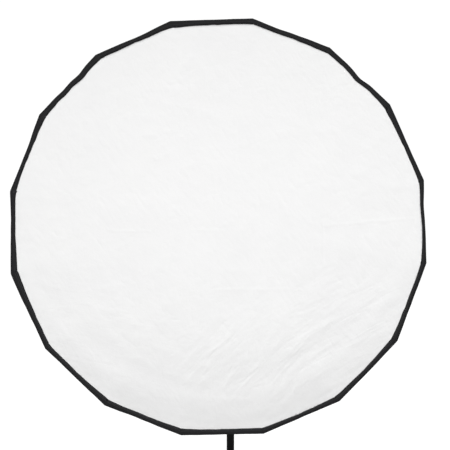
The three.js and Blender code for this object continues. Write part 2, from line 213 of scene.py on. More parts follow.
def inward(gore):
    """Unit vector from the middle of a side to the dish axis."""
    angle = rib_angle(gore + 0.5)
    return Vector((-math.cos(angle), 0, -math.sin(angle)))


# ---- shell profile, from the CAD shell's corner line ----
def shell_corner_line():
    pairs = set()
    for v in frame["nodes"]["outer_shell"].data.vertices:
        r, angle, w = dish_coordinates(v.co)
        if abs(math.remainder(angle - FIRST_RIB, 2 * math.pi)) < 0.01:
            pairs.add((round(r, 5), round(w, 5)))
    line = []
    for r, w in sorted(pairs, key=lambda p: p[0] + p[1]):
        twin = line and math.dist(line[-1], (r, w)) < 0.0025
        if twin and r - w > line[-1][0] - line[-1][1]:
            line[-1] = (r, w)
        elif not twin:
            line.append((r, w))
    return [Vector(p) for p in line]


def resample(line, count):
    """The line as count points evenly spaced along a smooth curve through it, and its length."""
    dense = []
    for i in range(len(line) - 1):
        a, b = line[max(i - 1, 0)], line[i]
        c, d = line[i + 1], line[min(i + 2, len(line) - 1)]
        for t in (0, 0.2, 0.4, 0.6, 0.8):
            dense.append(
                0.5 * (2 * b + (c - a) * t + (2 * a - 5 * b + 4 * c - d) * t**2
                       + (3 * b - a - 3 * c + d) * t**3)
            )
    dense.append(line[-1])
    along = [0.0]
    for a, b in zip(dense, dense[1:]):
        along.append(along[-1] + (b - a).length)
    points, i = [], 0
    for n in range(count):
        target = along[-1] * n / (count - 1)
        while i < len(dense) - 2 and along[i + 1] < target:
            i += 1
        share = (target - along[i]) / (along[i + 1] - along[i])
        points.append(dense[i].lerp(dense[i + 1], share))
    return points, along[-1]


PROFILE, PROFILE_LENGTH = resample(shell_corner_line(), 81)
PROFILE_NORMALS = []
for i in range(len(PROFILE)):
    d = PROFILE[min(i + 1, len(PROFILE) - 1)] - PROFILE[max(i - 1, 0)]
    PROFILE_NORMALS.append(Vector((d.y, -d.x)).normalized())


def profile_at(s):
    """Radius, forward and outward normal at share s of the way from hub to rim."""
    x = s * (len(PROFILE) - 1)
    i = min(int(x), len(PROFILE) - 2)
    p = PROFILE[i].lerp(PROFILE[i + 1], x - i)
    n = PROFILE_NORMALS[i].lerp(PROFILE_NORMALS[i + 1], x - i)
    return p.x, p.y, n


def side_dent(gore, u):
    """How far the cloth rim is pulled in from the line between two corners."""
    depth = RIM_WAVE * noise.noise(Vector((gore * 3.1 + u * 6, 0.5, 2.2))) * math.sin(math.pi * u)
    for side, centre, width, height in RIM_DENTS:
        if side == gore % SIDES:
            depth += height * math.exp(-(((u - centre) / width) ** 2)) * smooth(math.sin(math.pi * u), 0, 0.4)
    angle = math.degrees(rib_angle(gore + u))
    for centre, width, height in RIM_REACHES:
        depth -= height * math.exp(-((math.remainder(angle - centre, 360) / width) ** 2))
    return depth


def shell_place(s, gore, u, lift=0.0):
    """A point of the stretched shell, lifted off it by a distance."""
    r, w, n = profile_at(s)
    middle = math.sin(math.pi * u) ** 2
    free = smooth(s, 0.03, 0.2) * smooth(1 - s, 0.0, 0.25)
    pull = SADDLE * middle * free
    corner = smooth(s, 0.55, 1.0) * smooth(1 - s, 0.0, 0.06)
    q = Vector((gore * 5.3 + u * 7, s * 2.2, 1.7))
    pull += SHELL_WAVE * noise.noise(q) * free * math.sin(math.pi * u)
    q = Vector((gore * 2.9 + u * 16, s * 5, 8.4))
    pull += SHELL_PUCKER * corner * noise.noise(q) * math.sin(math.pi * u)
    pull += side_dent(gore, u) * smooth(s, 0.75, 1.0)
    angle = rib_angle(gore + 0.5)
    out = Vector((n.x * math.cos(angle), -n.y, n.x * math.sin(angle)))
    return side_place(r, gore, u, w) + out * (lift - pull)


# ---- how the cloth follows the folding ribs ----
def pleat(gore, u):
    """Share of the ring's place that a point between two folded ribs keeps, which makes a pleat stand out."""
    size = PLEAT + PLEAT_VARIES * noise.noise(Vector((gore % SIDES * 1.7, 3.3, 0.4)))
    return size * math.sin(math.pi * u) ** 1.4


def fold_shares(gore, u, held, pleated):
    """Body shares of a cloth point u of the way between two ribs: held and pleated are shares too."""
    ring = held + (1 - held) * pleat(gore, u) * pleated
    return {
        "speed_ring": ring,
        RIBS[gore % SIDES]: (1 - ring) * (1 - u),
        RIBS[(gore + 1) % SIDES]: (1 - ring) * u,
    }


def shell_shares(s, gore, u):
    return fold_shares(gore, u, 1 - smooth(s, 0.01, 0.07), smooth(s, 0.05, 0.45))


def edge_share(inset):
    """How far a point of the lip is on the way from the dish axis to the diffuser's sewn edge, at most 1."""
    flat = math.cos(STEP / 2)
    return min(1.0, (RIM * flat - inset) / (DIFFUSER_RADIUS * flat))


def diffuser_shares(share, gore, u):
    """At its edge the diffuser follows the ribs beside it, and towards its middle all the ribs alike."""
    even = (1 - share) ** 1.2
    shares = {body: (1 - even) * part for body, part in fold_shares(gore, u, 0.0, share**3).items()}
    for rib in RIBS:
        shares[rib] = shares.get(rib, 0.0) + even / SIDES
    return shares


def cloth_rig():
    """One bone for each body that moves cloth, at the frame's origin, following that body."""
    data = bpy.data.armatures.new("cloth_rig")
    rig = bpy.data.objects.new("cloth_rig", data)
    bpy.context.scene.collection.objects.link(rig)
    bpy.context.view_layer.objects.active = rig
    bpy.ops.object.mode_set(mode="EDIT")
    for body in ["speed_ring", *RIBS]:
        bone = data.edit_bones.new(body)
        bone.head, bone.tail = (0, 0, 0), (0, 1, 0)
    bpy.ops.object.mode_set(mode="OBJECT")
    for body in ["speed_ring", *RIBS]:
        follow = rig.pose.bones[body].constraints.new("COPY_TRANSFORMS")
        follow.target = frame["bodies"][body]
    rig.parent = frame["bodies"]["speed_ring"]
    rig.hide_render = True
    return rig


RIG = cloth_rig()


def follow_ribs(piece, shares):
    """Deforms a piece with the ribs: shares holds one dictionary of body shares for each vertex."""
    groups = {body: piece.vertex_groups.new(name=body) for body in ["speed_ring", *RIBS]}
    for i, share in enumerate(shares):
        for body, weight in share.items():
            if weight > 1e-4:
                groups[body].add([i], weight, "REPLACE")
    bend = piece.modifiers.new("ribs", "ARMATURE")
    bend.object = RIG
    bend.use_bone_envelopes = False
    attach(piece, "speed_ring")


# ---- meshes ----
def mesh_piece(name, points, faces, uvs=None, materials=()):
    """A smooth-shaded piece. uvs holds one list of pairs for each face, in metres."""
    mesh = bpy.data.meshes.new(name)
    mesh.from_pydata([tuple(p) for p in points], [], faces)
    if uvs:
        layer = mesh.uv_layers.new(name="cloth")
        flat = [c for face in uvs for pair in face for c in pair]
        layer.data.foreach_set("uv", flat)
    mesh.polygons.foreach_set("use_smooth", [True] * len(mesh.polygons))
    for material in materials:
        mesh.materials.append(material)
    piece = bpy.data.objects.new(name, mesh)
    bpy.context.scene.collection.objects.link(piece)
    return piece


def thicken(piece, thickness, offset=-1.0, lining=0):
    solid = piece.modifiers.new("thickness", "SOLIDIFY")
    solid.thickness = thickness
    solid.offset = offset
    solid.material_offset = lining


def ring_grid(rows, columns=GORE_COLUMNS):
    """Faces and UVs of a closed ring of gores: rows is a list of (distance along, side length) pairs."""
    per_row = SIDES * len(columns)
    faces, uvs = [], []
    for i in range(len(rows) - 1):
        for gore in range(SIDES):
            for c, u in enumerate(columns):
                after = columns[c + 1] if c + 1 < len(columns) else 1.0
                a = i * per_row + gore * len(columns) + c
                b = i * per_row + (gore * len(columns) + c + 1) % per_row
                faces.append((a, b, b + per_row, a + per_row))
                (y0, w0), (y1, w1) = rows[i], rows[i + 1]
                x = gore * 0.3
                uvs.append(
                    ((x + (u - 0.5) * w0, y0), (x + (after - 0.5) * w0, y0),
                     (x + (after - 0.5) * w1, y1), (x + (u - 0.5) * w1, y1))
                )
    return faces, uvs


def side_length(radius):
    return 2 * radius * math.sin(STEP / 2)


# ---- materials ----
class Graph:
    """A material's node tree, with short calls for its nodes."""

    def __init__(self, name):
        self.material = bpy.data.materials.new(name)
        self.material.use_nodes = True
        self.tree = self.material.node_tree
        self.shader = self.tree.nodes["Principled BSDF"]

    def node(self, kind, values=(), **settings):
        n = self.tree.nodes.new("ShaderNode" + kind)
        for key, value in settings.items():
            setattr(n, key, value)
        for socket, value in dict(values).items():
            self.set(n, socket, value)
        return n

    def set(self, node, socket, value):
        if isinstance(value, bpy.types.NodeSocket):
            self.tree.links.new(value, node.inputs[socket])
        else:
            node.inputs[socket].default_value = value

    def surface(self, **values):
        for key, value in values.items():
            self.set(self.shader, key.replace("_", " "), value)
        return self.material

    def maths(self, operation, a, b=0.0, c=0.0):
        return self.node("Math", {0: a, 1: b, 2: c}, operation=operation).outputs[0]

    def vector(self, operation, a, b=(0, 0, 0)):
        n = self.node("VectorMath", {0: a, 1: b}, operation=operation)
        return n.outputs[1 if operation in ("LENGTH", "DOT_PRODUCT", "DISTANCE") else 0]

    def place(self, source="Object"):
        return self.node("TexCoord").outputs[source]

    def split(self, vector):
        return self.node("SeparateXYZ", {0: vector}).outputs

    def noise(self, scale, detail=3.0, vector=None, stretch=None):
        vector = vector or self.place()
        if stretch:
            vector = self.node("Mapping", {"Vector": vector, "Scale": stretch}).outputs[0]
        return self.node("TexNoise", {"Vector": vector, "Scale": scale, "Detail": detail}).outputs[0]

    def ramp(self, factor, low, high, at=(0.3, 0.7)):
        n = self.node("ValToRGB", {0: factor})
        n.color_ramp.elements[0].color, n.color_ramp.elements[1].color = (*low, 1), (*high, 1)
        n.color_ramp.elements[0].position, n.color_ramp.elements[1].position = at
        return n.outputs[0]

    def tint(self, factor, colour, other):
        """The colour, turning to the other one as the factor goes from 0 to 1."""
        return self.node("Mix", {0: factor, 6: colour, 7: other}, data_type="RGBA").outputs[2]

    def range(self, factor, low, high):
        return self.node("MapRange", {0: factor, 1: 0.3, 2: 0.7, 3: low, 4: high}).outputs[0]

    def weave(self, pitch):
        """Height of a plain weave with threads a pitch apart, along both directions of the cloth's UV."""
        x, y, _ = self.split(self.place("UV"))
        turns = math.pi / pitch
        warp = self.maths("ABSOLUTE", self.maths("SINE", self.maths("MULTIPLY", x, turns)))
        weft = self.maths("ABSOLUTE", self.maths("SINE", self.maths("MULTIPLY", y, turns)))
        return self.maths("MULTIPLY", warp, weft)

    def stitches(self, across, along, lines, length=0.0042, width=0.0005, shown=0.68):
        """1 on the threads of stitch lines at given distances across a tape; shown is a thread's share."""
        near = None
        for line in lines:
            away = self.maths("ABSOLUTE", self.maths("SUBTRACT", across, line))
            near = away if near is None else self.maths("MINIMUM", near, away)
        on_line = self.maths("LESS_THAN", near, width)
        beat = self.maths("FRACT", self.maths("DIVIDE", along, length))
        return self.maths("MULTIPLY", on_line, self.maths("LESS_THAN", beat, shown))

    def bump(self, height, distance, strength=1.0, normal=None):
        values = {"Height": height, "Distance": distance, "Strength": strength}
        if normal:
            values["Normal"] = normal
        return self.node("Bump", values).outputs[0]


def black_cloth(name, pitch, tone, lines=(), stitch_along=1):
    """Black woven cloth; lines are stitch lines across a tape whose other UV direction runs along it."""
    g = Graph(name)
    uv = g.split(g.place("UV"))
    weave = g.weave(pitch)
    patch = g.noise(9, 4)
    low = tuple(c * tone for c in (0.006, 0.006, 0.0066))
    high = tuple(c * tone for c in (0.013, 0.013, 0.0142))
    colour = g.ramp(g.maths("MULTIPLY_ADD", weave, 0.35, g.maths("MULTIPLY", patch, 0.65)), low, high)
    normal = g.bump(weave, pitch * 0.35, 0.5)
    normal = g.bump(g.noise(38, 3), 0.0006, 0.35, normal)
    if lines:
        threads = g.stitches(uv[1 - stitch_along], uv[stitch_along], lines)
        colour = g.tint(threads, colour, (0.045, 0.045, 0.048, 1))
        normal = g.bump(threads, 0.0005, 0.9, normal)
    g.surface(Base_Color=colour, Roughness=g.range(patch, 0.72, 0.88), Specular_IOR_Level=0.22,
              Sheen_Weight=0.02, Sheen_Roughness=0.5, Normal=normal)
    return g.material


def crease(g, where, start, end, depth):
    """A pressed fold between two points of the cloth: its depth on its line, fading out beside it."""
    a, b = Vector((*start, 0)), Vector((*end, 0))
    run = b - a
    offset = g.vector("SUBTRACT", where, tuple(a))
    t = g.maths("MULTIPLY", g.vector("DOT_PRODUCT", offset, tuple(run)), 1 / run.length_squared)
    t = g.node("Clamp", {0: t}).outputs[0]
    nearest = g.node("VectorMath", {0: tuple(run), "Scale": t}, operation="SCALE").outputs[0]
    away = g.vector("LENGTH", g.vector("SUBTRACT", offset, nearest))
    ridge = g.maths("MAXIMUM", g.maths("MULTIPLY_ADD", away, -1 / CREASE_REACH, 1.0), 0.0)
    return g.maths("MULTIPLY", ridge, depth)


def spot(g, where, centre, size):
    """1 at a place on the cloth, falling to 0 at the edge of an ellipse."""
    away = g.vector("DIVIDE", g.vector("SUBTRACT", where, (*centre, 0)), (*size, 1))
    return g.node("MapRange", {0: g.vector("LENGTH", away), 1: 0.35, 2: 1.0, 3: 1.0, 4: 0.0},
                  interpolation_type="SMOOTHSTEP").outputs[0]


def drawn(g, where, turn, along, across):
    """Wrinkles drawn out in one direction, turned from the horizontal by an angle in degrees."""
    turned = g.node("Mapping", {"Vector": where, "Rotation": (0, 0, -math.radians(turn))}).outputs[0]
    stretched = g.node("Mapping", {"Vector": turned, "Scale": (along, across, 1)}).outputs[0]
    values = {"Vector": stretched, "Scale": 1.0, "Detail": 3.0, "Distortion": 0.25}
    return g.node("TexNoise", values).outputs[0]


def creased(g, value):
    """Turns soft noise into sharp-bottomed folds."""
    return g.maths("ABSOLUTE", g.maths("SUBTRACT", value, 0.5))


def crumpling(g, where):
    """Height of the fine crumpling all over the diffuser: soft dents and streaks drawn out either way."""
    side = g.node("MapRange", {0: g.noise(7, 2, where), 1: 0.42, 2: 0.58}).outputs[0]
    rising, falling = drawn(g, where, 33, 15, 62), drawn(g, where, -52, 15, 62)
    streaks = g.node("Mix", {0: side, 2: rising, 3: falling}).outputs[0]
    dents = creased(g, g.noise(21, 3, where))
    crumple = g.maths("MULTIPLY_ADD", dents, 0.9, g.maths("MULTIPLY", streaks, 0.33))
    facets = g.node("TexVoronoi", {"Vector": where, "Scale": 22}, feature="F1").outputs[0]
    return g.maths("MULTIPLY_ADD", facets, 0.2, crumple)


def lower_folds(g, where):
    """Height of the finer folds in the diffuser's lower part, and of the arcs that follow its edge there."""
    def patch(turn, along, across, centre, size):
        folds = creased(g, drawn(g, where, turn, along, across))
        return g.maths("MULTIPLY", folds, spot(g, where, centre, size))

    low = spot(g, where, (0.0, -0.52), (0.62, 0.50))
    rising = patch(48, 6, 33, (0.09, -0.39), (0.3, 0.2))
    leaning = patch(32, 5, 30, (0.34, -0.28), (0.30, 0.24))
    sinking = patch(-12, 5, 26, (-0.33, -0.30), (0.32, 0.26))
    x, y = g.split(where)[:2]
    out = g.maths("MULTIPLY", g.vector("LENGTH", where), 22)
    around = g.maths("MULTIPLY", g.maths("ARCTAN2", x, y), 1.6)
    ring = g.node("CombineXYZ", {0: out, 1: around}).outputs[0]
    arcs = g.maths("MULTIPLY", g.noise(1.0, 3, ring), low)
    folds = g.maths("MULTIPLY_ADD", leaning, 1.3, g.maths("MULTIPLY", sinking, 0.5))
    folds = g.maths("MULTIPLY_ADD", rising, 1.4, folds)
    return g.maths("MULTIPLY_ADD", arcs, 0.32, folds)


def pressed_creases(g, where):
    total = None
    for start, end, depth in DIFFUSER_CREASES:
        line = crease(g, where, start, end, depth)
        total = line if total is None else g.maths("ADD", total, line)
    return total


def diffuser_cloth():
    g = Graph("diffuser_white")
    x, _, z = g.split(g.place())
    centred = {0: g.maths("SUBTRACT", x, HUB.x), 1: g.maths("SUBTRACT", z, HUB.z)}
    flat = g.node("CombineXYZ", centred).outputs[0]
    wobble = g.node("TexNoise", {"Vector": flat, "Scale": 16, "Detail": 2}).outputs[1]
    shift = g.vector("MULTIPLY", g.vector("SUBTRACT", wobble, (0.5, 0.5, 0.5)), (0.012, 0.012, 0))
    where = g.vector("ADD", flat, shift)
    normal = g.bump(g.weave(0.0009), 0.0002, 0.2)
    normal = g.bump(crumpling(g, where), CRUMPLE, 1.0, normal)
    normal = g.bump(lower_folds(g, where), FOLDS, 1.0, normal)
    normal = g.bump(pressed_creases(g, where), PRESSED, 1.0, normal)
    colour = g.ramp(g.noise(5, 4), (0.925, 0.925, 0.925), (0.94, 0.94, 0.938))
    g.surface(Base_Color=colour, Roughness=0.9, Sheen_Weight=0.05, Normal=normal, Specular_IOR_Level=0.25)
    return g.material


def diffuser_inside_painted_glow():
    """The diffuser's inner face: a greyer copy of the white cloth, with a painted glow standing in for the
    light that comes through the cloth from the front.
    """
    g = Graph("diffuser_inside_painted_glow")
    # painted glow: the emission below stands in for light coming through the cloth, as the inner face is no
    # lamp
    g.surface(Base_Color=g.ramp(g.noise(5, 4), (0.78, 0.78, 0.77), (0.84, 0.84, 0.83)), Roughness=0.9,
              Emission_Color=(1, 1, 0.99, 1), Emission_Strength=INSIDE_PAINTED_GLOW,
              Normal=g.bump(g.weave(0.0009), 0.0002, 0.3))
    return g.material


def silver_lining():
    g = Graph("silver_lining")
    crinkle = g.noise(60, 5)
    weave = g.weave(0.0011)
    normal = g.bump(crinkle, 0.001, 0.6, g.bump(weave, 0.0003, 0.4))
    g.surface(Base_Color=g.ramp(crinkle, (0.55, 0.56, 0.57), (0.78, 0.79, 0.8)), Metallic=0.9,
              Roughness=g.range(crinkle, 0.28, 0.45), Normal=normal)
    return g.material


def coated(name, tone, grain, roughness, wear, gloss=0.35):
    """A black coat with a fine grain, worn lighter along its edges."""
    g = Graph(name)
    fine = g.noise(grain, 5)
    edges = g.node("NewGeometry").outputs["Pointiness"]
    worn = g.maths("MULTIPLY", g.node("MapRange", {0: edges, 1: 0.55, 2: 0.62, 3: 0.0, 4: wear}).outputs[0],
                   g.node("MapRange", {0: g.noise(140, 4), 1: 0.45, 2: 0.6}).outputs[0])
    base = g.ramp(fine, tuple(c * 0.8 for c in tone), tuple(c * 1.25 for c in tone))
    colour = g.tint(worn, base, (0.25, 0.25, 0.26, 1))
    g.surface(Base_Color=colour, Roughness=g.range(g.noise(22, 4), roughness - 0.06, roughness + 0.08),
              Specular_IOR_Level=gloss, Normal=g.bump(fine, 0.00012, 0.5))
    return g.material


def bare_metal(name, tone, roughness, turned):
    g = Graph(name)
    marks = g.noise(240, 4, stretch=turned)
    g.surface(Base_Color=g.ramp(marks, tuple(c * 0.86 for c in tone), tone), Metallic=1.0,
              Roughness=g.range(marks, roughness - 0.08, roughness + 0.1), Normal=g.bump(marks, 0.00006, 0.4))
    return g.material


def rod_black():
    g = Graph("fibreglass")
    streaks = g.noise(90, 4, stretch=(1, 0.15, 1))
    g.surface(Base_Color=g.ramp(streaks, (0.008, 0.008, 0.009), (0.03, 0.03, 0.032)),
              Roughness=g.range(streaks, 0.3, 0.46), Normal=g.bump(streaks, 0.0001, 0.4))
    return g.material


SHELL_BLACK = black_cloth("shell_black", 0.0008, 1.0)
BAND_BLACK = black_cloth("band_black", 0.0014, 1.35, (0.0045, 0.0085, 0.0365, 0.0395))
TAPE_BLACK = black_cloth("tape_black", 0.0012, 1.6, (-0.0052, 0.0052))
WEBBING_BLACK = black_cloth("webbing_black", 0.0016, 1.5, (WEBBING_TURN + 0.0022, WEBBING_TURN + 0.0085), 0)
PATCH_BLACK = black_cloth("patch_black", 0.0012, 1.5, (-0.013, 0.013))
LINING = silver_lining()
WHITE = diffuser_cloth()
WHITE_INSIDE = diffuser_inside_painted_glow()
FINISHES = {
    "alloy_black": coated("alloy_black", (0.012, 0.012, 0.0125), 900, 0.42, 0.5),
    "pole": coated("pole_black", (0.0006, 0.0006, 0.00065), 300, 0.32, 0.0, 0.2),
    "nylon_black": coated("nylon_black", (0.018, 0.018, 0.018), 500, 0.55, 0.15),
    "plastic_black": coated("plastic_black", (0.016, 0.016, 0.017), 420, 0.5, 0.2),
    "aluminium": bare_metal("aluminium", (0.72, 0.72, 0.73), 0.3, (1, 0.05, 1)),
    "steel": bare_metal("steel", (0.62, 0.62, 0.63), 0.26, (1, 1, 0.1)),
    "fibreglass": rod_black(),
}


def dress_cad():
    """Softens each CAD node's edges and gives it its finish; cloth nodes are replaced below."""
    slots = {s["node"]: s["material_slot"] for s in frame["record"]["subparts"]}
    for name, node in frame["nodes"].items():
        if slots[name] not in FINISHES:
            continue
        finish = "pole" if name == "pole_tube" else slots[name]
        node.data.materials.clear()
        node.data.materials.append(FINISHES[finish])
        node.data.polygons.foreach_set("use_smooth", [True] * len(node.data.polygons))
        node.modifiers.new("joined", "WELD").merge_threshold = 0.00001
        edges = node.modifiers.new("edges", "BEVEL")
        edges.width = 0.0004
        edges.segments = 2
        edges.limit_method = "ANGLE"
        edges.angle_limit = math.radians(35)
        edges.harden_normals = True


# ---- shell, seams, patches and hub webbing ----
def build_shell():
    points, shares, rows = [], [], []
    for i in range(SHELL_ROWS):
        s = i / (SHELL_ROWS - 1)
        rows.append((s * PROFILE_LENGTH, side_length(profile_at(s)[0])))
        for gore in range(SIDES):
            for u in GORE_COLUMNS:
                points.append(shell_place(s, gore, u))
                shares.append(shell_shares(s, gore, u))
    faces, uvs = ring_grid(rows)
    shell = mesh_piece("shell_cloth", points, faces, uvs, (SHELL_BLACK, LINING))
    follow_ribs(shell, shares)
    thicken(shell, CLOTH, lining=1)
    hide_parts("outer_shell")


def strip_along_rib(k, start, end, half_width, lift, rows, columns, taper=0.0):
    """Points, shares, faces and UVs of a strip sewn over the shell along a rib."""
    points, shares, faces, uvs = [], [], [], []
    for i in range(rows):
        t = i / (rows - 1)
        s = mix(start, end, t)
        side = side_length(profile_at(s)[0])
        half = half_width * (1 - taper * (1 - t))
        for c in range(columns):
            x = mix(-half, half, c / (columns - 1))
            gore, u = (k, x / side) if x >= 0 else (k - 1, 1 + x / side)
            rounded = lift * (1 - 0.5 * abs(x / half) ** 6)
            points.append(shell_place(s, gore, u, rounded))
            shares.append(shell_shares(s, gore, u))
    for i in range(rows - 1):
        for c in range(columns - 1):
            a = i * columns + c
            faces.append((a, a + 1, a + 1 + columns, a + columns))
            x0, x1 = [mix(-half_width, half_width, n / (columns - 1)) for n in (c, c + 1)]
            y0, y1 = [mix(start, end, n / (rows - 1)) * PROFILE_LENGTH for n in (i, i + 1)]
            uvs.append(((x0, y0), (x1, y0), (x1, y1), (x0, y1)))
    return points, shares, faces, uvs


def build_strips(name, material, thickness, **size):
    """One strip for each rib, sewn on the shell, as one piece."""
    points, shares, faces, uvs = [], [], [], []
    for k in range(SIDES):
        p, w, f, t = strip_along_rib(k, **size)
        faces += [tuple(i + len(points) for i in face) for face in f]
        points += p
        shares += w
        uvs += t
    strips = mesh_piece(name, points, faces, uvs, (material,))
    follow_ribs(strips, shares)
    thicken(strips, thickness)
    return strips


def build_seams():
    tapes = build_strips("seam_tapes", TAPE_BLACK, TAPE_THICK, start=TAPE_SPAN[0], end=TAPE_SPAN[1],
                         half_width=TAPE / 2, lift=0.0007, rows=60, columns=9)
    patches = build_strips("corner_patches", PATCH_BLACK, PATCH_THICK, start=PATCH_SPAN[0], end=PATCH_SPAN[1],
                           half_width=PATCH_WIDTH / 2, lift=0.0021, rows=12, columns=13, taper=0.25)


def build_hub_webbing():
    low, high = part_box("hub_hem")
    radius = max(dish_coordinates(v.co)[0] for v in frame["nodes"]["hub_hem"].data.vertices)
    back, front = HUB.y - high.y, HUB.y - low.y
    section = [  # from the turned-in edge to the front one: out from the webbing's outside, and forward
        (-0.0012 - WEBBING_TURN, back + 0.0008), (-0.0012 - WEBBING_TURN / 2, back + 0.0003),
        (-0.0012, back), (-0.0003, back + 0.0004), (0, back + 0.0012),
        (0.0001, mix(back, front, 0.35)), (0.0001, mix(back, front, 0.65)),
        (0, front - 0.0012), (-0.0003, front - 0.0004), (-0.0012, front),
    ]
    points, rows, along = [], [], 0.0
    for i, (out, forward) in enumerate(section):
        along += math.dist(section[i - 1], (out, forward)) if i else 0.0
        rows.append((along, side_length(radius)))
        for gore in range(SIDES):
            for u in GORE_COLUMNS:
                ripple = 0.0004 * noise.noise(Vector((gore * 2 + u * 5, i * 0.2, 4)))
                points.append(side_place(radius + out - 0.0003 + ripple, gore, u, forward))
    faces, uvs = ring_grid(rows)
    uvs = [tuple((y, x) for x, y in face) for face in uvs]
    webbing = mesh_piece("hub_webbing", points, faces, uvs, (WEBBING_BLACK,))
    thicken(webbing, WEBBING_THICK)
    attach(webbing, "speed_ring")
    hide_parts("hub_hem")


# ---- rim band ----
def lip_inner(gore, u):
    """Distance of the lip's inner edge from the corner-to-corner line, uneven as the sewn cloth is."""
    wider, slant = LIP_UNEVEN.get(gore % SIDES, (0.0, 0.0))
    middle = LIP_SIDE + wider + slant * (u - 0.5)
    first, second = [LIP_CORNER + CORNERS_UNEVEN.get(k % SIDES, 0.0) for k in (gore, gore + 1)]
    corner = mix(first, second, u) * math.cos(STEP / 2)
    width = mix(corner, middle, math.sin(math.pi * u) ** 0.45)
    angle = rib_angle(gore + u)
    loose = 1 + 1.6 * max(0.0, math.cos(angle - math.radians(LIP_LOOSEST)))
    wave = 0.0008 * loose * noise.noise(Vector((angle * 9, 1.3, 0)))
    wave += 0.0005 * loose * noise.noise(Vector((angle * 31, 4.1, 0)))
    notch = 0.0012 * math.exp(-(((u - 0.5 + 0.2 * noise.noise(Vector((gore * 7.7, 0.3, 0)))) / 0.035) ** 2))
    return width + wave - notch


def build_rim_band():
    columns = tuple(sorted({*GORE_COLUMNS, *BAND_COLUMNS}))
    r_edge, w_edge, _ = profile_at(1.0)
    r_back, w_back, _ = profile_at(0.96)
    slope = (r_edge - r_back) / (w_edge - w_back)
    face_shares = (0.0, 0.04, 0.2, 0.5, 0.8, 0.95)
    points, shares, rows = [], [], []
    around = side_length(RIM)

    def add_row(distance, place_at, inset=None):
        rows.append((distance, around))
        for gore in range(SIDES):
            for u in columns:
                points.append(place_at(gore, u))
                shares.append(diffuser_shares(edge_share(inset(gore, u)) if inset else 1.0, gore, u))

    for share in face_shares:
        def inset(gore, u, share=share):
            return mix(lip_inner(gore, u), LIP_EDGE, share)

        def on_face(gore, u, share=share, inset=inset):
            curl = 0.0014 * (1 - smooth(share, 0.0, 0.15)) + 0.0009 * (1 - math.sin(math.pi * share))
            pucker = 0.0005 * noise.noise(Vector((gore * 9 + u * 11, share * 2, 5.5)))
            p = side_place(RIM, gore, u, FRONT - 0.0002 - curl + pucker)
            return p + inward(gore) * (inset(gore, u) + side_dent(gore, u))
        add_row(LIP_CLOTH * share, on_face, inset)
    for n, (out, back) in enumerate(((0.0004, 0.0006), (0.0001, SKIRT_START))):
        def on_corner(gore, u, out=out, back=back):
            return side_place(RIM, gore, u, FRONT - back) + inward(gore) * (out + side_dent(gore, u))
        add_row(0.0175 + n * 0.001, on_corner)
    for t in (0.12, 0.3, 0.5, 0.7, 0.88, 1.0):
        def on_skirt(gore, u, t=t):
            back = SKIRT * t
            flare = 0.0006 * noise.noise(Vector((gore * 4 + u * 6, t * 2, 9.1))) * math.sin(math.pi * u)
            radius = RIM - slope * back - 0.0002
            dent = side_dent(gore, u) * (1 - 0.12 * t)
            return side_place(radius, gore, u, FRONT - SKIRT_START - back) + inward(gore) * (dent - flare)
        add_row(0.0195 + t * SKIRT, on_skirt)

    faces, uvs = ring_grid(rows, columns)
    uvs = [tuple((y, x) for x, y in face) for face in uvs]
    band = mesh_piece("rim_binding", points, faces, uvs, (BAND_BLACK,))
    follow_ribs(band, shares)
    thicken(band, BAND_THICK)
    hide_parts("rim_band")


# ---- diffuser ----
def polygon_place(point):
    """Gore, place along its side, and distance from the axis square to that side, of an (x, z) point."""
    angle = math.atan2(point[1], point[0]) - FIRST_RIB
    gore = math.floor(angle / STEP) % SIDES
    off_middle = math.remainder(angle - (gore + 0.5) * STEP, 2 * math.pi)
    distance = math.hypot(*point) * math.cos(off_middle)
    u = 0.5 + math.tan(off_middle) / (2 * math.tan(STEP / 2))
    return gore, min(1.0, max(0.0, u)), distance


def diffuser_mesh(radius, spacing):
    """A flat sixteen-sided sheet of even triangles: points in (x, z), faces and the sewn-down points."""
    edge = []
    for k in range(SIDES):
        a = Vector((radius * math.cos(rib_angle(k)), radius * math.sin(rib_angle(k))))
        b = Vector((radius * math.cos(rib_angle(k + 1)), radius * math.sin(rib_angle(k + 1))))
        edge += [a.lerp(b, n / EDGE_STEPS) for n in range(EDGE_STEPS)]
    flat = radius * math.cos(STEP / 2) - spacing * 0.6
    inside = []
    rows = int(radius / (spacing * TRIANGLE)) + 1
    for j in range(-rows, rows + 1):
        for i in range(-rows * 2, rows * 2 + 1):
            p = Vector(((i + 0.5 * (j % 2)) * spacing, j * spacing * TRIANGLE))
            if polygon_place(p)[2] < flat:
                inside.append(p)
    loop = [(i, (i + 1) % len(edge)) for i in range(len(edge))]
    points, _, faces, *_ = delaunay_2d_cdt(edge + inside, loop, [], 1, 1e-6)
    limit = radius * math.cos(STEP / 2) - 1e-4
    sewn = [i for i, p in enumerate(points) if polygon_place(p)[2] > limit]
    return points, faces, sewn


def drawn_folds(x, y):
    """Height of the folds across the lower part of the cloth, at a place right of and above the axis."""
    height = 0.0
    for turn, centre, size, scale, depth in DRAWN_FOLDS:
        a = math.radians(turn)
        along, across = x * math.cos(a) + y * math.sin(a), y * math.cos(a) - x * math.sin(a)
        fold = abs(noise.noise(Vector((along * scale[0], across * scale[1], turn))))
        away = math.hypot((x - centre[0]) / size[0], (y - centre[1]) / size[1])
        height += depth * fold * (1 - smooth(away, 0.35, 1.0))
    return height


def belly(height, share):
    """Forward swell of the hanging cloth at a height from -1 to 1 and a share of the way to the rim."""
    low = min(1.0, max(0.0, (0.95 - height) / 1.7)) ** 1.25
    return (1 - share * share) * BELLY * low


